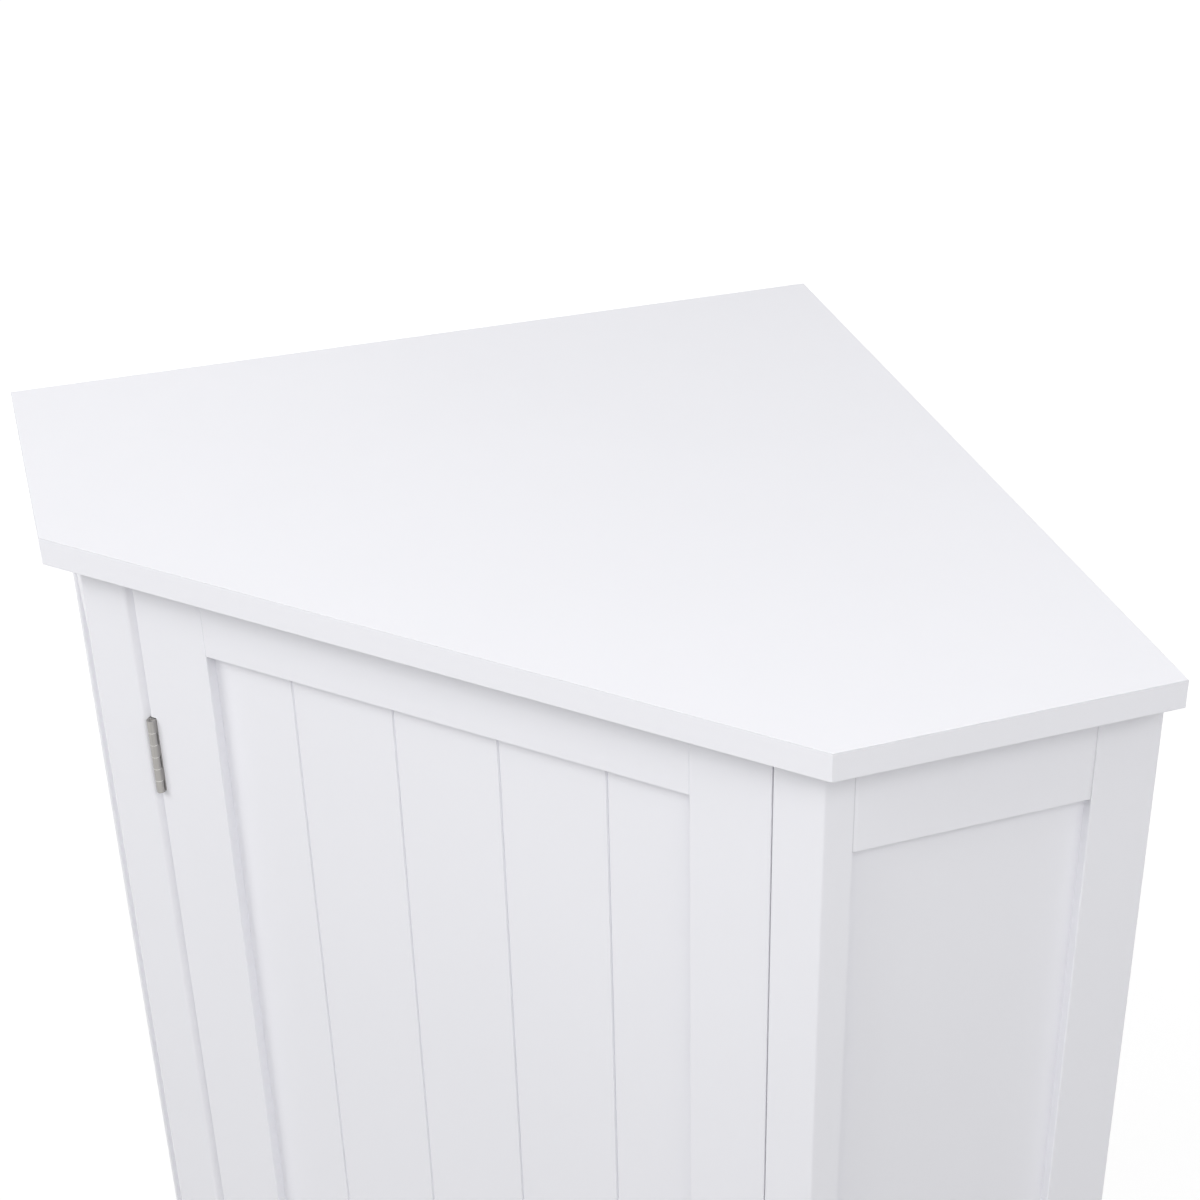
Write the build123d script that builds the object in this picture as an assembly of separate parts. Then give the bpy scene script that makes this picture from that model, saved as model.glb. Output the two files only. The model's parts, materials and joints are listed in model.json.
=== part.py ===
from build123d import *
import os
from math import sqrt

# Corner bathroom cabinet with one panelled door. Millimetres, +Z up, door facing -Y.
# The corner of the room is on +Y, and X = 0 runs through it. Z = 0 is the floor.

# Top panel
wall_side = 460.0              # edge that lies along each wall of the room
return_side = 168.0            # short edge, square to the wall
top_thickness = 15.0
top_arris = 0.5                # rounding of the long edges
overall_height = 800.0

# Body
front_overhang = 14.5          # top panel past the door side of the body
side_overhang = 16.5           # top panel past the short sides
hinge_post_face = 28.9         # width of the left front post, which carries the hinges
strike_post_face = 24.2        # width of the right front post
post_side_face = 14.0          # the posts as seen on the short sides
back_stile_face = 32.5
rear_post_side = 25.0
frame_thickness = 15.0         # side frames and front rail
post_arris = 2.0               # rounded outer corner of the front posts
hinge_post_bevel = 3.2         # bevel beside the door on the hinge side, clear of the barrels
hinge_post_softening = 3.0     # rounding between that bevel and the front face
strike_post_arris = 0.8        # rounding beside the door on the catch side
back_stile_arris = 0.8         # rounding of the back stiles towards the panel
toe_space = 60.0               # floor to the underside of the bottom rails
front_rail_height = 50.0
front_rail_arch_rise = 14.0
front_rail_arch_end = 38.0     # straight length left at each end of the arch
side_top_rail_height = 53.5
side_bottom_rail_height = 62.0
side_panel_thickness = 4.5
side_panel_recess = 6.0
side_groove = 6.0
rail_end_bevel = 1.8           # length of the slight fall at each end of a side rail
rail_end_fall = 0.5
edge_ease = 0.6                # small chamfer on painted board edges
panel_float = 0.5              # room left for a panel at the bottom of its groove
bottom_panel_thickness = 15.0
back_panel_thickness = 3.0
back_panel_lap = 8.0           # width of the rebates that hold the back panels

# Adjustable shelf
shelf_thickness = 15.0
shelf_height = 440.0           # floor to the underside of the shelf
shelf_setback = 24.0           # body front to the shelf's front edge
shelf_clearance = 1.0
support_count = 5              # holes in each row
support_pitch = 32.0
support_radius = 2.5
support_hole_depth = 8.0
support_reach = 10.0
support_width = 12.0
support_drop = 9.0
support_web = 2.0

# Door
door_thickness = 16.0
door_stile = 40.0
door_top_rail = 37.7
door_bottom_rail = 40.0
door_groove = 8.0
door_panel_thickness = 4.5
door_panel_recess = 6.0
door_joint_ease = 0.3          # hairline chamfer where rails meet stiles
door_recess = 1.3              # door face behind the posts' front faces
door_side_gap = 0.9
door_top_gap = 2.2
door_bottom_gap = 3.0
bead_pitch = 57.0
bead_count = 4
bead_width = 1.3
bead_depth = 1.2

# Hinges
hinge_length = 44.0
hinge_from_door_end = 85.0
knuckle_count = 6
knuckle_radius = 2.1
knuckle_gap = 0.2
leaf_thickness = 1.0
leaf_reach = 13.5              # leaf behind the posts' front faces
mortise_clearance = 0.3
barrel_proud = 0.6             # barrel axis in front of the posts' front faces
pin_radius = 0.9
pin_clearance = 0.05
pin_recess = 0.5
leaf_screw_count = 3
leaf_screw_margin = 7.0
leaf_screw_offset = 1.5        # stagger of the middle screw
hinge_screw_length = 12.0

# Countersunk screws
screw_head_radius = 2.7
screw_head_height = 1.6
screw_shank_radius = 1.3

# Knob
knob_height = 448.0
knob_reach = 26.3
knob_radius = 15.0
knob_foot_radius = 8.0
knob_neck_radius = 5.5
knob_screw_radius = 2.0
knob_screw_depth = 11.0
knob_screw_head_radius = 4.0
knob_screw_head = 2.4
knob_screw_play = 0.25

# Magnetic catch
catch_from_strike_edge = 62.0  # catch centre to the free edge of the door
catch_width = 46.0
catch_depth = 14.0
catch_height = 16.0
catch_block_width = 26.0
catch_ear_thickness = 3.5
catch_rounding = 1.2
magnet_width = 20.0
magnet_depth = 9.0
magnet_thickness = 4.0
magnet_height = 11.0           # magnet centre below the top panel
pole_thickness = 1.2
pole_proud = 0.7
strike_plate_width = 34.0
strike_plate_height = 11.0
strike_plate_thickness = 1.2
strike_plate_air = 0.3
catch_screw_length = 12.0
strike_screw_length = 10.0

# Cam fittings and dowels
cam_radius = 7.5
cam_depth = 12.0
cam_setback = 24.0             # cam centre to the joint
cam_channel = 7.4
cam_slot_length = 9.0
cam_slot_width = 1.4
cam_slot_depth = 1.6
bolt_thread_radius = 2.5
bolt_thread_length = 11.0
bolt_shaft_radius = 3.0
bolt_neck_radius = 2.0
bolt_head_radius = 3.5
bolt_head_length = 2.5
bolt_neck_length = 3.0
bolt_bore_radius = 3.5
dowel_radius = 4.0
top_dowel_up = 10.0
top_dowel_down = 20.0
side_dowel_in_rail = 10.0
side_dowel_in_panel = 20.0
front_dowel_half = 15.0
dowel_from_end = 18.0

# Back panel nails
nail_radius = 0.7
nail_length = 12.0
nail_head_radius = 1.7
nail_head_height = 0.6
upright_nail_count = 4
base_nail_count = 3
nail_end_margin = 35.0

# Foot glides
glide_height = 5.0
glide_radius = 7.0
glide_edge = 1.2
glide_nail_radius = 1.0
glide_nail_length = 12.0

# Plan of the cabinet
diagonal = sqrt(0.5)
top_depth = (wall_side + return_side) * diagonal
whole_depth = max(top_depth, top_depth - front_overhang - door_recess + knob_reach)
corner_y = whole_depth / 2
top_front_y = corner_y - top_depth
front_y = top_front_y + front_overhang
front_half = (wall_side - return_side - 2 * side_overhang) * diagonal + front_overhang
side_run = return_side + side_overhang - sqrt(2) * front_overhang
wall_run = wall_side - side_overhang
post_depth = (post_side_face + frame_thickness) * diagonal

# Levels
body_top = overall_height - top_thickness
front_rail_top = toe_space + front_rail_height
bottom_panel_base = front_rail_top - bottom_panel_thickness
side_rail_top = toe_space + side_bottom_rail_height
side_top_rail_base = body_top - side_top_rail_height
door_base = front_rail_top + door_bottom_gap
door_top = body_top - door_top_gap

# Door opening and hinge axis
opening_left = -front_half + hinge_post_face
opening_right = front_half - strike_post_face
hinge_axis_x = opening_left + knuckle_radius
hinge_axis_y = front_y - barrel_proud
leaf_mortise = 2 * knuckle_radius - door_side_gap
door_left = opening_left + door_side_gap
door_right = opening_right - door_side_gap
door_middle = (door_left + door_right) / 2
upper_hinge_base = door_top - hinge_from_door_end - hinge_length
lower_hinge_base = door_base + hinge_from_door_end

# Along a short side, from its front corner towards the wall, then into the cabinet
side_frame = Plane(origin=(front_half, front_y, 0), x_dir=(1, 1, 0), z_dir=(0, 0, 1))
rail_start = post_side_face
rail_end = side_run - back_stile_face
panel_face = side_panel_recess
panel_back = side_panel_recess + side_panel_thickness
rear_post_start = wall_run - rear_post_side

parts = {}


def plan(front, side, wall):
    """Five corners of the top panel's plan, with its edges moved in by three distances."""
    side_line = sqrt(2) * (wall_side - side) - corner_y
    wall_line = corner_y - sqrt(2) * wall
    front_line = top_front_y + front
    wall_x = (side_line + wall_line) / 2
    wall_y = (wall_line - side_line) / 2
    front_x = side_line + front_line
    return [
        (0, wall_line),
        (wall_x, wall_y),
        (front_x, front_line),
        (-front_x, front_line),
        (-wall_x, wall_y),
    ]


def board(points, low, high):
    """Upright prism on a plan outline."""
    return Pos(0, 0, low) * extrude(Polygon(*points, align=None), amount=high - low, dir=(0, 0, 1))


def block(x, y, z):
    """Box between two values on each axis."""
    size = Box(x[1] - x[0], y[1] - y[0], z[1] - z[0], align=(Align.MIN, Align.MIN, Align.MIN))
    return Pos(x[0], y[0], z[0]) * size


def rod(radius, low, high):
    """Cylinder on the local Z axis between two heights."""
    return Pos(0, 0, low) * Cylinder(radius, high - low, align=(Align.CENTER, Align.CENTER, Align.MIN))


def edges_at(piece, **place):
    """Edges of a piece whose middle lies at the given x, y or z."""
    chosen = piece.edges()
    for axis, value in place.items():
        chosen = [edge for edge in chosen if abs(getattr(edge @ 0.5, axis.upper()) - value) < 0.01]
    return chosen


def mirrored(piece):
    return mirror(piece, about=Plane.YZ)


def on_both_sides(pieces):
    """Copies of pieces given along the right short side, on both sides of the cabinet."""
    right = [side_frame * piece for piece in pieces]
    return right + [mirrored(piece) for piece in right]


def cut(name, tools):
    """Holes or seats for the given tools in a finished part."""
    for tool in tools:
        parts[name] = parts[name] - tool


def spread(first, last, count):
    """Evenly spaced values from first to last."""
    return [first + (last - first) * step / (count - 1) for step in range(count)]


# Legs and side frames

def front_post(face_width):
    """Right-hand post: front face, door side, back, end towards the rail, short side face."""
    end_x = post_side_face * diagonal
    outline = [
        (front_half, front_y),
        (front_half - face_width, front_y),
        (front_half - face_width, front_y + post_depth),
        (front_half + (post_side_face - frame_thickness) * diagonal, front_y + post_depth),
        (front_half + end_x, front_y + end_x),
    ]
    post = board(outline, glide_height, body_top)
    post = fillet(edges_at(post, x=front_half, y=front_y), post_arris)
    groove = block((rail_start - side_groove, rail_start + 1), (panel_face, panel_back), (toe_space, body_top + 1))
    return post - side_frame * groove


def door_side_edge(post, face_width):
    """Upright edge where a post's front face ends beside the door."""
    return edges_at(post, x=front_half - face_width, y=front_y)


def back_stile():
    """Upright at the wall: grooved towards the panel, rebated for the back panel."""
    outer = block((rail_end, side_run), (0, frame_thickness), (glide_height, body_top))
    outer = fillet(edges_at(outer, x=rail_end, y=0), back_stile_arris)
    groove = block((rail_end - 1, rail_end + side_groove), (panel_face, panel_back), (toe_space, body_top + 1))
    rebate = block(
        (side_run - back_panel_thickness, side_run + 1),
        (frame_thickness - back_panel_lap, frame_thickness + 1),
        (bottom_panel_base, body_top + 1),
    )
    return outer - groove - rebate


def side_rail(low, high, groove_low, groove_high):
    """Rail of a side frame, tongued at both ends, with a groove for the panel's edge."""
    outline = [
        (rail_start, rail_end_fall),
        (rail_start + rail_end_bevel, 0),
        (rail_end - rail_end_bevel, 0),
        (rail_end, rail_end_fall),
        (rail_end, frame_thickness),
        (rail_start, frame_thickness),
    ]
    rail = board(outline, low, high)
    rail = chamfer(edges_at(rail, y=0, z=low) + edges_at(rail, y=0, z=high), edge_ease)
    tongue_x = (rail_start - side_groove, rail_end + side_groove)
    rail = rail + block(tongue_x, (panel_face, panel_back), (low, high))
    return rail - block(tongue_x, (panel_face, panel_back), (groove_low, groove_high))


def side_panel():
    """Flat infill that floats in the grooves of its frame."""
    reach = side_groove - panel_float
    return block(
        (rail_start - reach, rail_end + reach),
        (panel_face, panel_back),
        (side_rail_top - reach, side_top_rail_base + reach),
    )


strike_post = front_post(strike_post_face)
parts["right_front_post"] = fillet(door_side_edge(strike_post, strike_post_face), strike_post_arris)
hinge_post = front_post(hinge_post_face)
hinge_post = chamfer(door_side_edge(hinge_post, hinge_post_face), hinge_post_bevel)
hinge_post = fillet(door_side_edge(hinge_post, hinge_post_face - hinge_post_bevel), hinge_post_softening)
parts["left_front_post"] = mirrored(hinge_post)

side_pieces = {
    "back_stile": back_stile(),
    "side_top_rail": side_rail(
        side_top_rail_base, body_top, side_top_rail_base - 1, side_top_rail_base + side_groove
    ),
    "side_bottom_rail": side_rail(
        toe_space, side_rail_top, side_rail_top - side_groove, side_rail_top + 1
    ),
    "side_panel": side_panel(),
}
for piece_name, piece in side_pieces.items():
    parts["right_" + piece_name], parts["left_" + piece_name] = on_both_sides([piece])


# Rear corner and back panels

def rear_post():
    """Square leg in the corner, rebated on both wall faces for the back panels."""
    inner = side_run - rear_post_side
    post = block((inner, side_run), (rear_post_start, wall_run), (glide_height, body_top))
    levels = (bottom_panel_base, body_top + 1)
    right_rebate = block(
        (side_run - back_panel_thickness, side_run + 1),
        (rear_post_start - 1, rear_post_start + back_panel_lap),
        levels,
    )
    left_rebate = block(
        (inner - 1, inner + back_panel_lap),
        (wall_run - back_panel_thickness, wall_run + 1),
        levels,
    )
    return side_frame * (post - right_rebate - left_rebate)


def back_panel():
    """Thin board against the wall, from the back stile's rebate to the rear post's."""
    return block(
        (side_run - back_panel_thickness, side_run),
        (frame_thickness - back_panel_lap + panel_float, rear_post_start + back_panel_lap - panel_float),
        (bottom_panel_base, body_top),
    )


parts["rear_corner_post"] = rear_post()
parts["right_back_panel"], parts["left_back_panel"] = on_both_sides([back_panel()])


# Horizontal boards

def top_panel():
    """Slab with eased long edges, over the whole body."""
    slab = board(plan(0, 0, 0), body_top, overall_height)
    return fillet(slab.edges().group_by(Axis.Z)[0] + slab.edges().group_by(Axis.Z)[-1], top_arris)


def bottom_panel():
    """Board between the front rail, the side frames and the back panels, notched round the legs."""
    outline = plan(front_overhang + frame_thickness, side_overhang + frame_thickness, back_panel_thickness)
    panel = board(outline, bottom_panel_base, front_rail_top)
    for leg in ("left_front_post", "right_front_post", "rear_corner_post"):
        panel = panel - parts[leg]
    return panel


def shelf():
    """Loose board with a little play all round, notched round the rear post."""
    outline = plan(
        front_overhang + shelf_setback,
        side_overhang + frame_thickness + shelf_clearance,
        back_panel_thickness + shelf_clearance,
    )
    plain = board(outline, shelf_height, shelf_height + shelf_thickness)
    plain = chamfer(edges_at(plain, y=front_y + shelf_setback, x=0), edge_ease)
    notch = block(
        (side_run - rear_post_side - shelf_clearance, side_run),
        (rear_post_start - shelf_clearance, wall_run),
        (shelf_height - 1, shelf_height + shelf_thickness + 1),
    )
    return plain - side_frame * notch


def front_rail():
    """Rail under the door with a shallow arch along its lower edge."""
    rail = block(
        (opening_left, opening_right), (front_y, front_y + frame_thickness), (toe_space, front_rail_top)
    )
    rail = chamfer(edges_at(rail, y=front_y, z=front_rail_top), edge_ease)
    left = opening_left + front_rail_arch_end
    right = opening_right - front_rail_arch_end
    crown = ((left + right) / 2, toe_space + front_rail_arch_rise)
    bow = ThreePointArc((left, toe_space), crown, (right, toe_space))
    chord = Line((right, toe_space), (left, toe_space))
    arch = Pos(0, front_y - 1, 0) * (Plane.XZ * make_face([bow, chord]))
    return rail - extrude(arch, amount=frame_thickness + 2, dir=(0, 1, 0))


parts["top_panel"] = top_panel()
parts["bottom_panel"] = bottom_panel()
parts["adjustable_shelf"] = shelf()
parts["front_bottom_rail"] = front_rail()


# Door, in world axes: x across, y inwards

door_front = front_y + door_recess
door_back = door_front + door_thickness
tongue_front = door_front + door_panel_recess
tongue_back = tongue_front + door_panel_thickness
left_stile_x = (door_left, door_left + door_stile)
right_stile_x = (door_right - door_stile, door_right)
top_rail_z = (door_top - door_top_rail, door_top)
bottom_rail_z = (door_base, door_base + door_bottom_rail)


def door_frame_stile(x, groove_x):
    """Full-height upright of the door with its panel groove."""
    stile = block(x, (door_front, door_back), (door_base, door_top))
    stile = chamfer(edges_at(stile, x=x[0], y=door_front) + edges_at(stile, x=x[1], y=door_front), door_joint_ease)
    return stile - block(groove_x, (tongue_front, tongue_back), (door_base - 1, door_top + 1))


def door_rail(z, groove_z):
    """Cross rail between the stiles, tongued into their grooves."""
    inner = (left_stile_x[1], right_stile_x[0])
    rail = block(inner, (door_front, door_back), z)
    rail = chamfer(edges_at(rail, x=inner[0], y=door_front) + edges_at(rail, x=inner[1], y=door_front), door_joint_ease)
    tongue_x = (inner[0] - door_groove, inner[1] + door_groove)
    rail = rail + block(tongue_x, (tongue_front, tongue_back), z)
    return rail - block(tongue_x, (tongue_front, tongue_back), groove_z)


def door_panel():
    """Bead-and-plank panel: upright V grooves at an even pitch across the middle of the door."""
    reach = door_groove - panel_float
    panel = block(
        (left_stile_x[1] - reach, right_stile_x[0] + reach),
        (tongue_front, tongue_back),
        (bottom_rail_z[1] - reach, top_rail_z[0] + reach),
    )
    span = bead_pitch * (bead_count - 1) / 2
    for middle in spread(door_middle - span, door_middle + span, bead_count):
        section = [
            (middle - bead_width / 2, tongue_front),
            (middle, tongue_front + bead_depth),
            (middle + bead_width / 2, tongue_front),
        ]
        panel = panel - board(section, bottom_rail_z[1] - reach - 1, top_rail_z[0] + reach + 1)
    return panel


parts["door_left_stile"] = door_frame_stile(left_stile_x, (left_stile_x[1] - door_groove, left_stile_x[1] + 1))
parts["door_right_stile"] = door_frame_stile(right_stile_x, (right_stile_x[0] - 1, right_stile_x[0] + door_groove))
parts["door_top_rail"] = door_rail(top_rail_z, (top_rail_z[0] - 1, top_rail_z[0] + door_groove))
parts["door_bottom_rail"] = door_rail(bottom_rail_z, (bottom_rail_z[1] - door_groove, bottom_rail_z[1] + 1))
parts["door_panel"] = door_panel()


# Fasteners that repeat, each on a local Z axis that points out of the wood

def countersunk_screw(length):
    """Flat-headed screw with its head flush at local Z = 0."""
    cone = Pos(0, 0, -screw_head_height / 2) * Cone(screw_shank_radius, screw_head_radius, screw_head_height)
    return cone + rod(screw_shank_radius, -length, -screw_head_height)


def facing(point, direction):
    """Place for a fastener whose head looks along the given direction."""
    return Plane(origin=point, z_dir=direction)


# Hinges

def knuckle_levels(base, first):
    """Heights of every second knuckle, counted from the top of the hinge."""
    pitch = hinge_length / knuckle_count
    tops = [base + hinge_length - pitch * index for index in range(first, knuckle_count, 2)]
    return [(top - pitch + knuckle_gap / 2, top - knuckle_gap / 2) for top in tops]


def hinge_leaf(base, plate_x, own_knuckles, other_knuckles, bore):
    """Plate with its knuckles rolled tangent to it, cleared for the other leaf's knuckles."""
    axis = Pos(hinge_axis_x, hinge_axis_y, 0)
    leaf = block(plate_x, (hinge_axis_y, front_y + leaf_reach), (base, base + hinge_length))
    for level in other_knuckles:
        leaf = leaf - axis * rod(knuckle_radius + knuckle_gap, level[0] - knuckle_gap, level[1] + knuckle_gap)
    for level in own_knuckles:
        leaf = leaf + axis * rod(knuckle_radius, *level)
    return leaf - axis * rod(bore, base - 1, base + hinge_length + 1)


def hinge_screw_spots(base):
    """Depth and height of each screw in a leaf, the middle ones set back."""
    levels = spread(base + leaf_screw_margin, base + hinge_length - leaf_screw_margin, leaf_screw_count)
    middle = front_y + leaf_reach / 2
    return [
        (middle + (leaf_screw_offset if index % 2 else -leaf_screw_offset), level)
        for index, level in enumerate(levels)
    ]


post_plate_x = (opening_left, opening_left + leaf_thickness)
door_plate_x = (door_left + leaf_mortise - leaf_thickness, door_left + leaf_mortise)
post_screws = []
door_screws = []
for hinge_name, base in (("upper_hinge", upper_hinge_base), ("lower_hinge", lower_hinge_base)):
    door_knuckles = knuckle_levels(base, 0)
    post_knuckles = knuckle_levels(base, 1)
    screws = {"post": [], "door": []}
    for depth, level in hinge_screw_spots(base):
        post_spot = facing((post_plate_x[1], depth, level), (1, 0, 0))
        door_spot = facing((door_plate_x[0], depth, level), (-1, 0, 0))
        screws["post"].append(post_spot * countersunk_screw(hinge_screw_length))
        screws["door"].append(door_spot * countersunk_screw(hinge_screw_length))
    parts[hinge_name + "_post_leaf"] = hinge_leaf(base, post_plate_x, post_knuckles, door_knuckles, pin_radius)
    parts[hinge_name + "_door_leaf"] = hinge_leaf(
        base, door_plate_x, door_knuckles, post_knuckles, pin_radius + pin_clearance
    )
    pin = Pos(hinge_axis_x, hinge_axis_y, 0) * rod(pin_radius, base + pin_recess, base + hinge_length - pin_recess)
    parts[hinge_name + "_pin"] = pin
    mortise = block(
        (door_left - 1, door_left + leaf_mortise),
        (front_y - 1, front_y + leaf_reach + mortise_clearance),
        (base - mortise_clearance, base + hinge_length + mortise_clearance),
    )
    cut("door_left_stile", [mortise] + screws["door"])
    cut("left_front_post", screws["post"])
    cut(hinge_name + "_post_leaf", screws["post"])
    cut(hinge_name + "_door_leaf", screws["door"])
    post_screws += screws["post"]
    door_screws += screws["door"]
parts["hinge_post_screws"] = Compound(children=post_screws)
parts["hinge_door_screws"] = Compound(children=door_screws)


# Knob on the middle of the right stile

def knob():
    """Turned mushroom knob with a flared foot, bored for its screw."""
    waist = (knob_neck_radius, knob_reach * 0.3)
    under_rim = (knob_radius - edge_ease, knob_reach * 0.62)
    over_rim = (knob_radius - edge_ease, knob_reach * 0.76)
    foot_edge = (knob_foot_radius, edge_ease)
    crown = (0, knob_reach)
    profile = [
        Line((knob_screw_radius, 0), (knob_foot_radius, 0)),
        Line((knob_foot_radius, 0), foot_edge),
        TangentArc(waist, foot_edge, tangent=(0, -1)),
        TangentArc(waist, under_rim, tangent=(0, 1)),
        ThreePointArc(under_rim, (knob_radius, (under_rim[1] + over_rim[1]) / 2), over_rim),
        TangentArc(crown, over_rim, tangent=(1, 0)),
        Line(crown, (0, knob_screw_depth)),
        Line((0, knob_screw_depth), (knob_screw_radius, knob_screw_depth)),
        Line((knob_screw_radius, knob_screw_depth), (knob_screw_radius, 0)),
    ]
    return Rot(0, 0, 180) * revolve(make_face(profile), Axis.Y, 360)


knob_x = door_right - door_stile / 2
knob_place = Pos(knob_x, door_front, knob_height)
knob_screw = Rot(90, 0, 0) * (
    rod(knob_screw_radius, -door_thickness, knob_screw_depth)
    + rod(knob_screw_head_radius, -door_thickness - knob_screw_head, -door_thickness)
)
parts["door_knob"] = knob_place * knob()
parts["knob_screw"] = knob_place * knob_screw
cut(
    "door_right_stile",
    [knob_place * (Rot(90, 0, 0) * rod(knob_screw_radius + knob_screw_play, -door_thickness - 1, 1))],
)


# Magnetic catch under the top panel, and its plate on the door

catch_x = door_right - catch_from_strike_edge
plate_face_y = door_back + strike_plate_thickness
pole_front_y = plate_face_y + strike_plate_air
catch_front_y = pole_front_y + pole_proud
catch_back_y = catch_front_y + catch_depth
catch_middle_y = (catch_front_y + catch_back_y) / 2
magnet_z = body_top - magnet_height
ear_middle = (catch_width + catch_block_width) / 4


def across(width):
    """Span of a given width about the middle of the catch."""
    return (catch_x - width / 2, catch_x + width / 2)


def catch_case():
    """Case with two screw ears, hollow at the front for the magnet and its pole plates."""
    middle = block(
        across(catch_block_width), (catch_front_y, catch_back_y), (body_top - catch_height, body_top)
    )
    middle = fillet(middle.edges().group_by(Axis.Z)[0], catch_rounding)
    ears = block(
        across(catch_width), (catch_front_y, catch_back_y), (body_top - catch_ear_thickness, body_top)
    )
    ears = fillet(ears.edges().filter_by(Axis.Z), catch_rounding)
    return middle + ears


pole_levels = [
    (magnet_z - magnet_thickness / 2 - pole_thickness, magnet_z - magnet_thickness / 2),
    (magnet_z + magnet_thickness / 2, magnet_z + magnet_thickness / 2 + pole_thickness),
]
poles = [
    block(across(magnet_width), (pole_front_y, catch_front_y + magnet_depth), level) for level in pole_levels
]
magnet = block(
    across(magnet_width),
    (catch_front_y, catch_front_y + magnet_depth),
    (magnet_z - magnet_thickness / 2, magnet_z + magnet_thickness / 2),
)
catch_screws = [
    facing((catch_x + side * ear_middle, catch_middle_y, body_top - catch_ear_thickness), (0, 0, -1))
    * countersunk_screw(catch_screw_length)
    for side in (-1, 1)
]
strike_spot = facing((catch_x, plate_face_y, magnet_z), (0, 1, 0))
strike_screw = strike_spot * countersunk_screw(strike_screw_length)
strike_plate = block(
    across(strike_plate_width),
    (door_back, plate_face_y),
    (magnet_z - strike_plate_height / 2, magnet_z + strike_plate_height / 2),
)
strike_plate = fillet(strike_plate.edges().filter_by(Axis.Y), catch_rounding)

parts["catch_case"] = catch_case()
cut("catch_case", poles + [magnet] + catch_screws)
cut("top_panel", catch_screws)
parts["catch_magnet"] = magnet
parts["catch_pole_plates"] = Compound(children=poles)
parts["catch_screws"] = Compound(children=catch_screws)
parts["strike_plate"] = strike_plate - strike_screw
parts["strike_screw"] = strike_screw
cut("door_top_rail", [strike_screw])


# Cam fittings: the joint is at local Z = 0, the bolt runs along Z and the cam faces local +Y

def cam_disc(board_thickness):
    """Disc with a pocket for the bolt's head and a crossed slot on its face."""
    face = board_thickness / 2
    disc = Pos(0, face, -cam_setback) * (Rot(90, 0, 0) * rod(cam_radius, 0, cam_depth))
    half = cam_channel / 2
    pocket = block((-half, half), (-half, half), (-cam_setback - half, -cam_setback + cam_radius + 1))
    long_half = cam_slot_length / 2
    thin_half = cam_slot_width / 2
    slot_y = (face - cam_slot_depth, face + 1)
    slot = block((-long_half, long_half), slot_y, (-cam_setback - thin_half, -cam_setback + thin_half))
    slot = slot + block((-thin_half, thin_half), slot_y, (-cam_setback - long_half, -cam_setback + long_half))
    return disc - pocket - slot


def cam_seat(board_thickness):
    """Blind hole for the disc and the bore for the bolt."""
    seat = Pos(0, board_thickness / 2, -cam_setback) * (Rot(90, 0, 0) * rod(cam_radius, 0, cam_depth))
    return seat + rod(bolt_bore_radius, -cam_setback, 0)


def cam_bolt():
    """Bolt threaded into one board, with a necked head held by the cam in the other."""
    head_low = -cam_setback - bolt_head_length / 2
    neck_low = head_low + bolt_head_length
    shaft_low = neck_low + bolt_neck_length
    bolt = rod(bolt_thread_radius, 0, bolt_thread_length) + rod(bolt_shaft_radius, shaft_low, 0)
    return bolt + rod(bolt_neck_radius, neck_low, shaft_low) + rod(bolt_head_radius, head_low, neck_low)


rail_middle = (rail_start + rail_end) / 2
frame_centre = frame_thickness / 2
bottom_panel_centre = bottom_panel_base + bottom_panel_thickness / 2
top_cam_place = Plane(origin=(rail_middle, frame_centre, body_top), x_dir=(1, 0, 0), z_dir=(0, 0, 1))
bottom_cam_place = Plane(
    origin=(rail_middle, frame_thickness, bottom_panel_centre), x_dir=(-1, 0, 0), z_dir=(0, -1, 0)
)
dowel_xs = [rail_start + dowel_from_end, rail_end - dowel_from_end]

top_cams = on_both_sides([top_cam_place * cam_disc(frame_thickness)])
top_seats = on_both_sides([top_cam_place * cam_seat(frame_thickness)])
top_bolts = on_both_sides([top_cam_place * cam_bolt()])
bottom_cams = on_both_sides([bottom_cam_place * cam_disc(bottom_panel_thickness)])
bottom_seats = on_both_sides([bottom_cam_place * cam_seat(bottom_panel_thickness)])
bottom_bolts = on_both_sides([bottom_cam_place * cam_bolt()])

# Dowels stand in the top edges of the frames, and lie in the edges of the bottom panel
upright_dowel = rod(dowel_radius, body_top - top_dowel_down, body_top + top_dowel_up)
stile_middle = (rail_end + side_run - back_panel_thickness) / 2
rear_post_centre = side_frame * (
    Pos(side_run - rear_post_side / 2, wall_run - rear_post_side / 2, 0) * upright_dowel
)
top_dowels = on_both_sides(
    [Pos(x, frame_centre, 0) * upright_dowel for x in dowel_xs + [stile_middle]]
)
post_dowel_y = front_y + post_depth / 2
top_dowels += [
    Pos(front_half - strike_post_face / 2, post_dowel_y, 0) * upright_dowel,
    Pos(-front_half + hinge_post_face / 2, post_dowel_y, 0) * upright_dowel,
    rear_post_centre,
]
lying_dowel = Rot(90, 0, 0) * rod(dowel_radius, -side_dowel_in_panel, side_dowel_in_rail)
bottom_dowels = on_both_sides(
    [Pos(x, frame_thickness, bottom_panel_centre) * lying_dowel for x in dowel_xs]
)
front_rail_middle = (toe_space + front_rail_arch_rise + front_rail_top) / 2
front_dowels = [
    Pos(x, front_y + frame_centre, front_rail_middle)
    * (Rot(0, 90, 0) * rod(dowel_radius, -front_dowel_half, front_dowel_half))
    for x in (opening_left, opening_right)
]

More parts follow.
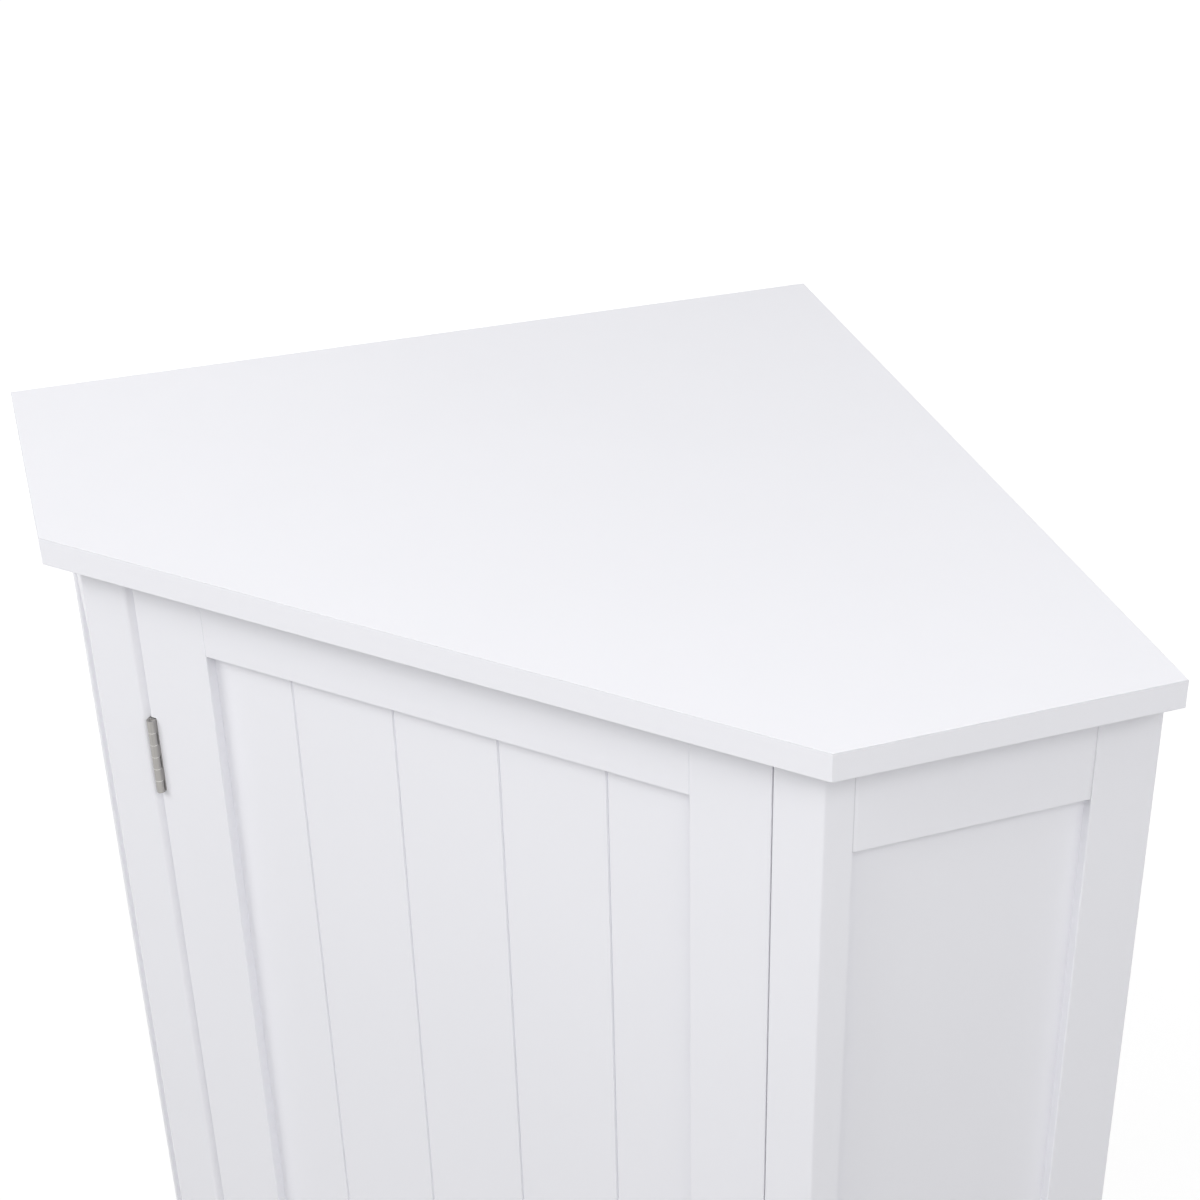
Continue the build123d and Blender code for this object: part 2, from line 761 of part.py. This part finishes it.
cut("top_panel", top_bolts + top_dowels)
cut("bottom_panel", bottom_seats + bottom_dowels)
for name in ("left_side_top_rail", "right_side_top_rail"):
    cut(name, top_seats + top_dowels)
for name in ("left_side_bottom_rail", "right_side_bottom_rail"):
    cut(name, bottom_bolts + bottom_dowels)
for name in ("left_back_stile", "right_back_stile", "rear_corner_post"):
    cut(name, top_dowels)
for name in ("left_front_post", "right_front_post"):
    cut(name, top_dowels + front_dowels)
cut("front_bottom_rail", front_dowels)

parts["top_cam_locks"] = Compound(children=top_cams)
parts["top_cam_bolts"] = Compound(children=top_bolts)
parts["top_dowels"] = Compound(children=top_dowels)
parts["bottom_cam_locks"] = Compound(children=bottom_cams)
parts["bottom_cam_bolts"] = Compound(children=bottom_bolts)
parts["bottom_dowels"] = Compound(children=bottom_dowels)
parts["front_rail_dowels"] = Compound(children=front_dowels)


# Shelf supports: local Z out of the wood, local Y up, the shelf rests at local Y = support_radius

def shelf_support():
    """Peg with a flat tab and a web under it."""
    half = support_width / 2
    peg = rod(support_radius, -support_hole_depth, 0)
    back = block((-half, half), (support_radius - support_drop, support_radius), (0, support_web))
    tab = block((-half, half), (support_radius - support_web, support_radius), (0, support_reach))
    corner = [(support_radius, 0), (support_radius, support_reach), (support_radius - support_drop, 0)]
    web = extrude(Plane.YZ * Polygon(*corner, align=None), amount=support_web / 2, both=True)
    return peg + back + tab + web


support_level = shelf_height - support_radius
row_base = support_level - support_pitch * (support_count - 1) / 2
row_levels = spread(row_base, row_base + support_pitch * (support_count - 1), support_count)
post_rows = {
    "left_front_post": -front_half + hinge_post_face / 2,
    "right_front_post": front_half - strike_post_face / 2,
}


def row_place(origin, outward):
    """Plane on a face, looking outward, with its Y axis up."""
    sideways = Vector(0, 0, 1).cross(Vector(*outward))
    return Plane(origin=origin, x_dir=sideways, z_dir=outward)


support_hole = rod(support_radius, -support_hole_depth, 1)
supports = []
for name, x in post_rows.items():
    for level in row_levels:
        cut(name, [row_place((x, front_y + post_depth, level), (0, 1, 0)) * support_hole])
    supports.append(row_place((x, front_y + post_depth, support_level), (0, 1, 0)) * shelf_support())
stile_holes = [row_place((stile_middle, frame_thickness, level), (0, 1, 0)) * support_hole for level in row_levels]
rear_line = side_run - (rear_post_side + back_panel_thickness) / 2
rear_holes = [row_place((rear_line, rear_post_start, level), (0, -1, 0)) * support_hole for level in row_levels]
for name in ("left_back_stile", "right_back_stile"):
    cut(name, on_both_sides(stile_holes))
cut("rear_corner_post", on_both_sides(rear_holes))
supports += on_both_sides(
    [
        row_place((stile_middle, frame_thickness, support_level), (0, 1, 0)) * shelf_support(),
        row_place((rear_line, rear_post_start, support_level), (0, -1, 0)) * shelf_support(),
    ]
)
parts["shelf_supports"] = Compound(children=supports)


# Nails through the back panels

def nail():
    """Flat-headed nail, its head flush at local Z = 0."""
    return rod(nail_radius, -nail_length, 0) + rod(nail_head_radius, -nail_head_height, 0)


nail_levels = spread(bottom_panel_base + nail_end_margin, body_top - nail_end_margin, upright_nail_count)
stile_nail_y = frame_thickness - back_panel_lap / 2
post_nail_y = rear_post_start + back_panel_lap / 2
low_nail_ys = spread(stile_nail_y, post_nail_y, base_nail_count + 2)[1:-1]
nail_spots = [(y, level) for y in (stile_nail_y, post_nail_y) for level in nail_levels]
nail_spots += [(y, bottom_panel_centre) for y in low_nail_ys]
nails = on_both_sides([facing((side_run, y, level), (1, 0, 0)) * nail() for y, level in nail_spots])
for side in ("left_", "right_"):
    cut(side + "back_panel", nails)
    cut(side + "back_stile", nails)
cut("rear_corner_post", nails)
cut("bottom_panel", nails)
parts["back_panel_nails"] = Compound(children=nails)


# Glides nailed under the five legs

def glide():
    """Rounded plastic button with its nail, from the floor up."""
    button = rod(glide_radius, 0, glide_height)
    button = fillet(button.edges().group_by(Axis.Z)[0], glide_edge)
    return button + rod(glide_nail_radius, glide_height, glide_height + glide_nail_length)


glide_spots = on_both_sides(
    [
        Pos((rail_end + side_run) / 2, frame_centre, 0) * glide(),
    ]
)
glide_spots += [
    Pos(front_half - strike_post_face / 2, post_dowel_y, 0) * glide(),
    Pos(-front_half + hinge_post_face / 2, post_dowel_y, 0) * glide(),
    side_frame * (Pos(side_run - rear_post_side / 2, wall_run - rear_post_side / 2, 0) * glide()),
]
for name in ("left_front_post", "right_front_post", "left_back_stile", "right_back_stile", "rear_corner_post"):
    cut(name, glide_spots)
parts["foot_glides"] = Compound(children=glide_spots)

os.makedirs("parts", exist_ok=True)
for name, part in parts.items():
    export_step(part, os.path.join("parts", name + ".step"))
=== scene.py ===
import json
import math

import bmesh
import bpy
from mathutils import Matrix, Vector

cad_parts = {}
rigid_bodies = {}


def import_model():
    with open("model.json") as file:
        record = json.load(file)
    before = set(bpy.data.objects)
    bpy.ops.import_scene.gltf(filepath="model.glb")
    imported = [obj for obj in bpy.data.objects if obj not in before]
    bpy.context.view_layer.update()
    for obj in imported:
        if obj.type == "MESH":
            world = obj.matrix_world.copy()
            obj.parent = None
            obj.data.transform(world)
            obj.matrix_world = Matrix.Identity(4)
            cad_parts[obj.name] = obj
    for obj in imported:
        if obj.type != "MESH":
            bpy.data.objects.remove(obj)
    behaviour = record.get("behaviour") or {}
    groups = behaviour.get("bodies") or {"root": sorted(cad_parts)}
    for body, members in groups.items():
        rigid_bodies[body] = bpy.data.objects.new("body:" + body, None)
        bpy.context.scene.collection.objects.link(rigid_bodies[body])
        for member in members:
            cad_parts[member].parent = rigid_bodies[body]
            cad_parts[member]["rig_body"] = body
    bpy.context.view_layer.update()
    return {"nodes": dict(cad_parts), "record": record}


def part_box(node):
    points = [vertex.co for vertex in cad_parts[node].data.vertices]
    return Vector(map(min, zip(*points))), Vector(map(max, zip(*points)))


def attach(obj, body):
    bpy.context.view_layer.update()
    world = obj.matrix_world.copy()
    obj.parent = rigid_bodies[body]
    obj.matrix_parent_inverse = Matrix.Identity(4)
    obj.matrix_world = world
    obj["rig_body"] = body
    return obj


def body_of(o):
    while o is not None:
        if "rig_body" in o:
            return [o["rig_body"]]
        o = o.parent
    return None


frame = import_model()

# Colours, linear
PAINT = (0.853, 0.853, 0.890)
BACK_PAINT = (0.815, 0.820, 0.840)
# hinge nickel darkened as a painted reflection of dark surroundings
NICKEL_DARK_REFLECTION = (0.38, 0.369, 0.354)
# lighter copy of the hinge nickel: painted highlight on the knuckle rims
NICKEL_RIM_HIGHLIGHT = (0.78, 0.77, 0.75)
ZINC = (0.62, 0.63, 0.65)
CAST_ZINC = (0.45, 0.455, 0.465)
WHITE_PLASTIC = (0.82, 0.82, 0.80)
GREY_PLASTIC = (0.60, 0.60, 0.59)
FERRITE = (0.028, 0.028, 0.030)
BEECH_LIGHT = (0.62, 0.43, 0.24)
BEECH_DARK = (0.44, 0.27, 0.13)
FLOOR = (0.35, 0.35, 0.35)
# painted shade of the screws' driver recesses and seams
RECESS_SHADE = (0.10, 0.10, 0.105)
WHITE = (1.0, 1.0, 1.0)

PAINT_ROUGHNESS = 0.54
PAINT_SPECULAR = 0.30

# Painted shade on edges of the paint, as shares of its colour, on the slab's rounded arris and in the joints at
# the side rails' ends, and sizes in metres
ARRIS_PAINTED_SHADE = 0.75
JOINT_PAINTED_SHADE = 0.80
JOINT_WIDTH = 0.0005
TONGUE = 0.006

# Rounded rims where the hinge knuckles meet, coloured brighter than the hinge as a painted highlight
KNUCKLE_COUNT = 6
KNUCKLE_RADIUS = 0.0021
PIN_RECESS = 0.0005
RIM_RADIUS = 0.00024
RIM_PROUD = 0.00003
RIM_SEGMENTS = 48

# Painted shade in the screw heads: dark driver crosses, as shares of the head's radius, and dark seams round the
# heads
CROSS_REACH = 0.52
CROSS_HALF_WIDTH = 0.12
CROSS_TURN = 0.7
SEAM_HALF_WIDTH = 0.00006
SEAM_SEGMENTS = 40
RECESS_PROUD = 0.00002
RECESS_DEPTH = 0.0002

# Camera, fitted to the photograph's edges
CAMERA_PLACE = (0.48459, -0.91756, 1.33316)
CAMERA_TURN = (59.661, -0.781, 24.491)
CAMERA_LENS = 66.717
CAMERA_SENSOR = 36.0
CAMERA_SHIFT = (-0.1333, -0.0333)

# Light
SKY_STRENGTH = 0.365
SHOWN_STRENGTH = 1.0
FLOOR_LIFT_NEAR = 0.70
FLOOR_LIFT_FAR = 0.90
FLOOR_NEAR = 0.7
FLOOR_FAR = 3.0
FLOOR_HALF_SIDE = 14.0
LIGHT_DISTANCE = 2.7
LIGHT_AIM = (0.0, 0.0, 0.55)


def linked(tree, source, target):
    """Joins an output socket to an input socket."""
    tree.links.new(source, target)


def new_material(name):
    """A material with one principled shader, its tree, shader and object coordinates."""
    material = bpy.data.materials.new(name)
    material.use_nodes = True
    tree = material.node_tree
    shader = tree.nodes["Principled BSDF"]
    place = tree.nodes.new("ShaderNodeTexCoord").outputs["Object"]
    return material, tree, shader, place


def noise(tree, place, scale, detail=2.0, roughness=0.5, stretch=None):
    """Noise over the object's own coordinates, stretched along an axis if asked."""
    if stretch is not None:
        mapping = tree.nodes.new("ShaderNodeMapping")
        mapping.inputs["Scale"].default_value = stretch
        linked(tree, place, mapping.inputs["Vector"])
        place = mapping.outputs["Vector"]
    node = tree.nodes.new("ShaderNodeTexNoise")
    node.inputs["Scale"].default_value = scale
    node.inputs["Detail"].default_value = detail
    node.inputs["Roughness"].default_value = roughness
    linked(tree, place, node.inputs["Vector"])
    return node.outputs["Fac"]


def ranged(tree, value, low, high, from_low=0.3, from_high=0.7):
    """A value spread from one range to another."""
    node = tree.nodes.new("ShaderNodeMapRange")
    node.inputs["From Min"].default_value = from_low
    node.inputs["From Max"].default_value = from_high
    node.inputs["To Min"].default_value = low
    node.inputs["To Max"].default_value = high
    linked(tree, value, node.inputs["Value"])
    return node.outputs["Result"]


def blended(tree, value, first, second):
    """Colour between two by a value."""
    node = tree.nodes.new("ShaderNodeMix")
    node.data_type = "RGBA"
    node.inputs["A"].default_value = (*first, 1.0)
    node.inputs["B"].default_value = (*second, 1.0)
    linked(tree, value, node.inputs["Factor"])
    return node.outputs["Result"]


def bumped(tree, shader, height, distance, strength=1.0):
    """Gives the shader a bump in metres, on top of any that it has."""
    node = tree.nodes.new("ShaderNodeBump")
    node.inputs["Distance"].default_value = distance
    node.inputs["Strength"].default_value = strength
    linked(tree, height, node.inputs["Height"])
    if shader.inputs["Normal"].is_linked:
        linked(tree, shader.inputs["Normal"].links[0].from_socket, node.inputs["Normal"])
    linked(tree, node.outputs["Normal"], shader.inputs["Normal"])


def shade(colour, share):
    """A colour made lighter or darker."""
    return tuple(channel * share for channel in colour)


def toned(tree, colour, mask, share):
    """A colour made darker by a share where the mask is 1."""
    node = tree.nodes.new("ShaderNodeMix")
    node.data_type = "RGBA"
    node.blend_type = "MULTIPLY"
    node.inputs["B"].default_value = (share, share, share, 1.0)
    linked(tree, colour, node.inputs["A"])
    linked(tree, mask, node.inputs["Factor"])
    return node.outputs["Result"]


def reckoned(tree, operation, first, second=None):
    """Result of a sum on one or two sockets or numbers."""
    node = tree.nodes.new("ShaderNodeMath")
    node.operation = operation
    for socket, value in zip(node.inputs, (first, second)):
        if isinstance(value, float):
            socket.default_value = value
        elif value is not None:
            linked(tree, value, socket)
    return node.outputs[0]


def arris_shade_mask(tree):
    """Mask of painted shade that damps the arris highlight: 1 on the rounding between a level top and an upright
    face, 0 on both.
    """
    axes = tree.nodes.new("ShaderNodeSeparateXYZ")
    linked(tree, tree.nodes.new("ShaderNodeNewGeometry").outputs["Normal"], axes.inputs[0])
    rise = reckoned(tree, "MAXIMUM", axes.outputs["Z"], 0.0)
    return reckoned(tree, "MULTIPLY", reckoned(tree, "MULTIPLY", rise, 4.0), reckoned(tree, "SUBTRACT", 1.0, rise))


def along_side(x, y):
    """Distance along a short side of the cabinet, the same on the left and the right."""
    return (abs(x) + y) * math.sqrt(0.5)


def joint_shade_mask(tree, place, rail):
    """Mask of painted shade in the joints: 1 in a narrow band at each end of a side rail, where it meets its post
    and stile.
    """
    reaches = [along_side(vertex.co.x, vertex.co.y) for vertex in rail.data.vertices]
    middle = (min(reaches) + max(reaches)) / 2
    half = (max(reaches) - min(reaches)) / 2 - TONGUE
    axes = tree.nodes.new("ShaderNodeSeparateXYZ")
    linked(tree, place, axes.inputs[0])
    total = reckoned(tree, "ADD", reckoned(tree, "ABSOLUTE", axes.outputs["X"]), axes.outputs["Y"])
    reach = reckoned(tree, "MULTIPLY", total, math.sqrt(0.5))
    away = reckoned(tree, "ABSOLUTE", reckoned(tree, "SUBTRACT", reach, middle))
    return ranged(tree, away, 0.0, 1.0, half - JOINT_WIDTH * 1.3, half - JOINT_WIDTH * 0.7)


def painted(name, colour, roughness, peel, arris=False, joint_shade_rail=None):
    """Sprayed satin paint: fine orange peel, uneven gloss and a faint drift of tone, with painted shade on a
    rounded arris and in a rail's joints if asked.
    """
    material, tree, shader, place = new_material(name)
    drift = ranged(tree, noise(tree, place, 5.0, detail=3.0), 0.0, 1.0)
    tone = blended(tree, drift, shade(colour, 0.992), shade(colour, 1.006))
    if arris:
        # painted shade on the rounded arris, damping its highlight
        tone = toned(tree, tone, arris_shade_mask(tree), ARRIS_PAINTED_SHADE)
    if joint_shade_rail is not None:
        # painted shade in the joints at the rail's ends
        tone = toned(tree, tone, joint_shade_mask(tree, place, joint_shade_rail), JOINT_PAINTED_SHADE)
    linked(tree, tone, shader.inputs["Base Color"])
    shader.inputs["Specular IOR Level"].default_value = PAINT_SPECULAR
    gloss = noise(tree, place, 55.0, detail=3.0)
    linked(tree, ranged(tree, gloss, roughness - 0.04, roughness + 0.05), shader.inputs["Roughness"])
    bumped(tree, shader, noise(tree, place, 260.0, detail=2.0), 0.00006 * peel)
    bumped(tree, shader, noise(tree, place, 1400.0, detail=2.0, roughness=0.6), 0.00002 * peel)
    return material


def metal(name, colour, roughness, streak, grain):
    """Plated metal with fine streaks along one axis."""
    material, tree, shader, place = new_material(name)
    shader.inputs["Metallic"].default_value = 1.0
    lines = noise(tree, place, 900.0, detail=3.0, roughness=0.7, stretch=streak)
    linked(tree, blended(tree, ranged(tree, lines, 0.0, 1.0), shade(colour, 0.90), shade(colour, 1.06)),
           shader.inputs["Base Color"])
    linked(tree, ranged(tree, lines, roughness - 0.07, roughness + 0.08), shader.inputs["Roughness"])
    bumped(tree, shader, lines, grain)
    return material


def plastic(name, colour, roughness):
    """Moulded plastic with a fine spark-eroded grain."""
    material, tree, shader, place = new_material(name)
    grain = noise(tree, place, 1800.0, detail=2.0)
    linked(tree, blended(tree, grain, shade(colour, 0.98), shade(colour, 1.01)), shader.inputs["Base Color"])
    linked(tree, ranged(tree, grain, roughness - 0.04, roughness + 0.04), shader.inputs["Roughness"])
    bumped(tree, shader, grain, 0.00003)
    return material


def wood(name, light, dark):
    """Raw beech, its grain along Z with short dark flecks."""
    material, tree, shader, place = new_material(name)
    grain = noise(tree, place, 500.0, detail=4.0, stretch=(1.0, 1.0, 0.08))
    linked(tree, blended(tree, ranged(tree, grain, 0.0, 1.0), light, dark), shader.inputs["Base Color"])
    shader.inputs["Roughness"].default_value = 0.65
    bumped(tree, shader, grain, 0.00006)
    return material


def sintered(name, colour):
    """Dark sintered magnet with a dull broken surface."""
    material, tree, shader, place = new_material(name)
    crumbs = noise(tree, place, 1500.0, detail=4.0, roughness=0.7)
    linked(tree, blended(tree, crumbs, shade(colour, 0.7), shade(colour, 1.6)), shader.inputs["Base Color"])
    shader.inputs["Roughness"].default_value = 0.6
    bumped(tree, shader, crumbs, 0.00008)
    return material


def dress_nodes():
    """Gives every CAD node the finish of its material slot."""
    along_z = (1.0, 1.0, 0.03)
    finishes = {
        "painted_board": painted("white_paint", PAINT, PAINT_ROUGHNESS, 1.0),
        "painted_hardboard": painted("white_hardboard_paint", BACK_PAINT, 0.62, 2.5),
        # the hinge's dark nickel colour is a painted reflection of dark surroundings
        "satin_nickel": metal("nickel_plate", NICKEL_DARK_REFLECTION, 0.34, along_z, 0.00001),
        "zinc_steel": metal("zinc_plate", ZINC, 0.30, along_z, 0.000008),
        "die_cast_zinc": metal("cast_zinc", CAST_ZINC, 0.48, (1.0, 1.0, 1.0), 0.00003),
        "clear_coated_steel": metal("pressed_steel", ZINC, 0.36, along_z, 0.000008),
        "white_plastic": plastic("catch_plastic", WHITE_PLASTIC, 0.42),
        "grey_plastic": plastic("glide_plastic", GREY_PLASTIC, 0.50),
        "ferrite": sintered("magnet_ferrite", FERRITE),
        "beech": wood("beech_dowel", BEECH_LIGHT, BEECH_DARK),
    }
    for subpart in frame["record"]["subparts"]:
        node = frame["nodes"][subpart["node"]]
        node.data.materials.clear()
        node.data.materials.append(finishes[subpart["material_slot"]])
    # the slab's paint darkens its rounded arris as painted shade
    edged = {"top_panel": painted("white_paint_slab_arris_shade", PAINT, PAINT_ROUGHNESS, 1.0, arris=True)}
    # the side rails' paint darkens the joints at their ends as painted shade
    jointed = painted("white_paint_rails_joint_shade", PAINT, PAINT_ROUGHNESS, 1.0, joint_shade_rail=frame["nodes"]["right_side_top_rail"])
    for side in ("left", "right"):
        for level in ("top", "bottom"):
            edged[f"{side}_side_{level}_rail"] = jointed
    for name, material in edged.items():
        frame["nodes"][name].data.materials[0] = material


def make_hinge_rims():
    """Rounded rims between the knuckles of each hinge, their brighter colour a painted highlight."""
    finish = metal("painted_rim_highlight", NICKEL_RIM_HIGHLIGHT, 0.30, (1.0, 1.0, 1.0), 0.000003)
    for hinge in ("upper_hinge", "lower_hinge"):
        low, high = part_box(hinge + "_pin")
        base, top = low.z - PIN_RECESS, high.z + PIN_RECESS
        middle = (low + high) / 2
        rims = []
        for index in range(1, KNUCKLE_COUNT):
            level = base + (top - base) * index / KNUCKLE_COUNT
            bpy.ops.mesh.primitive_torus_add(
                major_segments=RIM_SEGMENTS,
                minor_segments=12,
                major_radius=KNUCKLE_RADIUS + RIM_PROUD - RIM_RADIUS,
                minor_radius=RIM_RADIUS,
                location=(middle.x, middle.y, level),
            )
            rims.append(bpy.context.object)
        bpy.ops.object.select_all(action="DESELECT")
        for rim in rims:
            rim.select_set(True)
        bpy.context.view_layer.objects.active = rims[0]
        bpy.ops.object.join()
        joined = bpy.context.object
        bpy.ops.object.shade_smooth()
        joined.name = hinge + "_rims"
        joined.data.name = joined.name
        joined.data.materials.append(finish)
        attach(joined, "root")


def screw_heads(node):
    """Centre, outward direction and radius of each screw head in a CAD node of separate screws."""
    mesh = bmesh.new()
    mesh.from_mesh(frame["nodes"][node].data)
    bmesh.ops.remove_doubles(mesh, verts=mesh.verts, dist=1e-6)
    waiting = set(mesh.verts)
    heads = []
    while waiting:
        edge = [waiting.pop()]
        island = list(edge)
        while edge:
            near = {other for link in edge.pop().link_edges for other in link.verts} & waiting
            waiting -= near
            edge += near
            island += near
        places = [vertex.co.copy() for vertex in island]
        low = Vector([min(place[axis] for place in places) for axis in range(3)])
        high = Vector([max(place[axis] for place in places) for axis in range(3)])
        size = high - low
        axis = max(range(3), key=lambda index: size[index])
        middle = (low + high) / 2
        ends = []
        for end, sign in ((low, -1.0), (high, 1.0)):
            centre = middle.copy()
            centre[axis] = end[axis]
            rim = [(place - centre).length for place in places if abs(place[axis] - end[axis]) < 1e-6]
            direction = Vector((0.0, 0.0, 0.0))
            direction[axis] = sign
            ends.append((max(rim), centre, direction))
        radius, centre, direction = max(ends, key=lambda entry: entry[0])
        heads.append((centre, direction, radius))
    mesh.free()
    return sorted(heads, key=lambda head: tuple(round(value, 5) for value in head[0]))


def add_ring(mesh, loops):
    """Walls between closed loops of points, the last loop joined to the first."""
    rings = [[mesh.verts.new(point) for point in loop] for loop in loops]
    count = len(rings[0])
    for index, ring in enumerate(rings):
        following = rings[(index + 1) % len(rings)]
        for step in range(count):
            after = (step + 1) % count
            mesh.faces.new((ring[step], ring[after], following[after], following[step]))


def add_cross(mesh, low, high):
    """Cross between two outlines of twelve points, with inner corners at every third from the third on."""
    lower, upper = [[mesh.verts.new(point) for point in loop] for loop in (low, high)]
    for layer in (lower, upper):
        mesh.faces.new([layer[index] for index in (2, 5, 8, 11)])
        for corner in (2, 5, 8, 11):
            mesh.faces.new([layer[(corner + step) % 12] for step in range(4)])
    for step in range(12):
        after = (step + 1) % 12
        mesh.faces.new((lower[step], lower[after], upper[after], upper[step]))


def make_screw_recess_shades():
    """Dark driver crosses in the screw heads, and a fine dark seam round each: thin dark pieces painted as the
    shade of these hollows.
    """
    finish = metal("screw_recess_shade", RECESS_SHADE, 0.55, (1.0, 1.0, 1.0), 0.000005)
    for node in ("hinge_post_screws", "hinge_door_screws", "strike_screw", "catch_screws", "knob_screw"):
        mesh = bmesh.new()
        for index, (centre, direction, radius) in enumerate(screw_heads(node)):
            across = direction.orthogonal().normalized()
            upward = direction.cross(across)

            def spot(right, up, out):
                return centre + across * right + upward * up + direction * out

            def circle(reach, out):
                turns = [math.tau * step / SEAM_SEGMENTS for step in range(SEAM_SEGMENTS)]
                return [spot(reach * math.cos(turn), reach * math.sin(turn), out) for turn in turns]

            def cross(out):
                points = []
                for quarter in range(4):
                    turn = CROSS_TURN * (index + 1) - quarter * math.pi / 2
                    for right, up in ((reach, half), (reach, -half), (half, -half)):
                        points.append(spot(
                            right * math.cos(turn) - up * math.sin(turn),
                            right * math.sin(turn) + up * math.cos(turn),
                            out,
                        ))
                return points

            reach, half = radius * CROSS_REACH, radius * CROSS_HALF_WIDTH
            add_cross(mesh, cross(-RECESS_DEPTH), cross(RECESS_PROUD))
            inner, outer = radius - SEAM_HALF_WIDTH, radius + SEAM_HALF_WIDTH
            add_ring(mesh, [
                circle(inner, -RECESS_DEPTH),
                circle(outer, -RECESS_DEPTH),
                circle(outer, RECESS_PROUD),
                circle(inner, RECESS_PROUD),
            ])
        bmesh.ops.recalc_face_normals(mesh, faces=mesh.faces)
        name = node + "_recess_shades"
        data = bpy.data.meshes.new(name)
        mesh.to_mesh(data)
        mesh.free()
        data.materials.append(finish)
        piece = bpy.data.objects.new(name, data)
        bpy.context.scene.collection.objects.link(piece)
        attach(piece, body_of(frame["nodes"][node])[0])


def seen_rays(tree):
    """1 for camera, mirror and glass rays, 0 for the rays that light the object."""
    path = tree.nodes.new("ShaderNodeLightPath")
    total = path.outputs["Is Camera Ray"]
    for name in ("Is Glossy Ray", "Is Transmission Ray"):
        node = tree.nodes.new("ShaderNodeMath")
        node.operation = "MAXIMUM"
        linked(tree, total, node.inputs[0])
        linked(tree, path.outputs[name], node.inputs[1])
        total = node.outputs[0]
    return total


def make_world():
    """Soft even sky that shows as plain white."""
    world = bpy.data.worlds.new("studio")
    bpy.context.scene.world = world
    world.use_nodes = True
    tree = world.node_tree
    tree.nodes.clear()
    lighting = tree.nodes.new("ShaderNodeBackground")
    lighting.inputs["Color"].default_value = (*WHITE, 1.0)
    lighting.inputs["Strength"].default_value = SKY_STRENGTH
    shown = tree.nodes.new("ShaderNodeBackground")
    shown.inputs["Color"].default_value = (*WHITE, 1.0)
    shown.inputs["Strength"].default_value = SHOWN_STRENGTH
    mix = tree.nodes.new("ShaderNodeMixShader")
    linked(tree, seen_rays(tree), mix.inputs["Fac"])
    linked(tree, lighting.outputs["Background"], mix.inputs[1])
    linked(tree, shown.outputs["Background"], mix.inputs[2])
    output = tree.nodes.new("ShaderNodeOutputWorld")
    linked(tree, mix.outputs["Shader"], output.inputs["Surface"])


def make_floor():
    """Pale floor that shows as white and keeps the object's shadow."""
    bpy.ops.mesh.primitive_plane_add(size=2 * FLOOR_HALF_SIDE, location=(0, 0, 0))
    floor = bpy.context.object
    floor.name = "floor"
    material = bpy.data.materials.new("pale_floor")
    material.use_nodes = True
    tree = material.node_tree
    tree.nodes.clear()
    matt = tree.nodes.new("ShaderNodeBsdfDiffuse")
    matt.inputs["Color"].default_value = (*FLOOR, 1.0)
    glow = tree.nodes.new("ShaderNodeEmission")
    away = tree.nodes.new("ShaderNodeVectorMath")
    away.operation = "LENGTH"
    linked(tree, tree.nodes.new("ShaderNodeTexCoord").outputs["Object"], away.inputs[0])
    lift = ranged(tree, away.outputs["Value"], FLOOR_LIFT_NEAR, FLOOR_LIFT_FAR, FLOOR_NEAR, FLOOR_FAR)
    strength = tree.nodes.new("ShaderNodeMath")
    strength.operation = "MULTIPLY"
    linked(tree, lift, strength.inputs[1])
    linked(tree, seen_rays(tree), strength.inputs[0])
    linked(tree, strength.outputs[0], glow.inputs["Strength"])
    both = tree.nodes.new("ShaderNodeAddShader")
    linked(tree, matt.outputs["BSDF"], both.inputs[0])
    linked(tree, glow.outputs["Emission"], both.inputs[1])
    output = tree.nodes.new("ShaderNodeOutputMaterial")
    linked(tree, both.outputs["Shader"], output.inputs["Surface"])
    floor.data.materials.append(material)


def area_light(name, place, target, width, height, power):
    """Soft box that looks at a point."""
    data = bpy.data.lights.new(name, "AREA")
    data.shape = "RECTANGLE"
    data.size = width
    data.size_y = height
    data.energy = power
    light = bpy.data.objects.new(name, data)
    light.location = place
    light.rotation_mode = "QUATERNION"
    light.rotation_quaternion = (Vector(target) - Vector(place)).to_track_quat("-Z", "Y")
    bpy.context.scene.collection.objects.link(light)


def soft_box(name, azimuth, elevation, size, power):
    """Square box on a ball round the cabinet, by degrees to the right of the front and up."""
    turn, rise = math.radians(azimuth), math.radians(elevation)
    level = LIGHT_DISTANCE * math.cos(rise)
    place = (level * math.sin(turn), -level * math.cos(turn), LIGHT_AIM[2] + LIGHT_DISTANCE * math.sin(rise))
    area_light(name, place, LIGHT_AIM, size, size, power)


def make_lights():
    """Soft boxes round the front, the strongest on the left, and low weak ones behind."""
    soft_box("front_left_box", -35, 38, 1.3, 29.5)
    soft_box("front_low_box", 0, 15, 1.3, 5.7)
    soft_box("front_high_box", 0, 58, 1.3, 2.8)
    soft_box("front_right_box", 35, 38, 1.3, 18.4)
    soft_box("right_box", 70, 38, 1.3, 14.6)
    soft_box("left_low_box", -95, 0, 0.9, 9.0)
    soft_box("back_box", 180, 50, 1.6, 5.0)
    soft_box("back_left_box", -135, 5, 0.9, 16.0)
    soft_box("back_right_box", 135, 5, 0.9, 16.0)


def make_camera():
    """Camera at the photograph's viewpoint."""
    data = bpy.data.cameras.new("camera")
    data.sensor_width = CAMERA_SENSOR
    data.lens = CAMERA_LENS
    data.shift_x, data.shift_y = CAMERA_SHIFT
    camera = bpy.data.objects.new("camera", data)
    camera.location = CAMERA_PLACE
    camera.rotation_euler = [math.radians(angle) for angle in CAMERA_TURN]
    bpy.context.scene.collection.objects.link(camera)
    bpy.context.scene.camera = camera


bpy.context.scene.view_settings.view_transform = "Standard"
dress_nodes()
make_hinge_rims()
make_screw_recess_shades()
make_world()
make_floor()
make_lights()
make_camera()
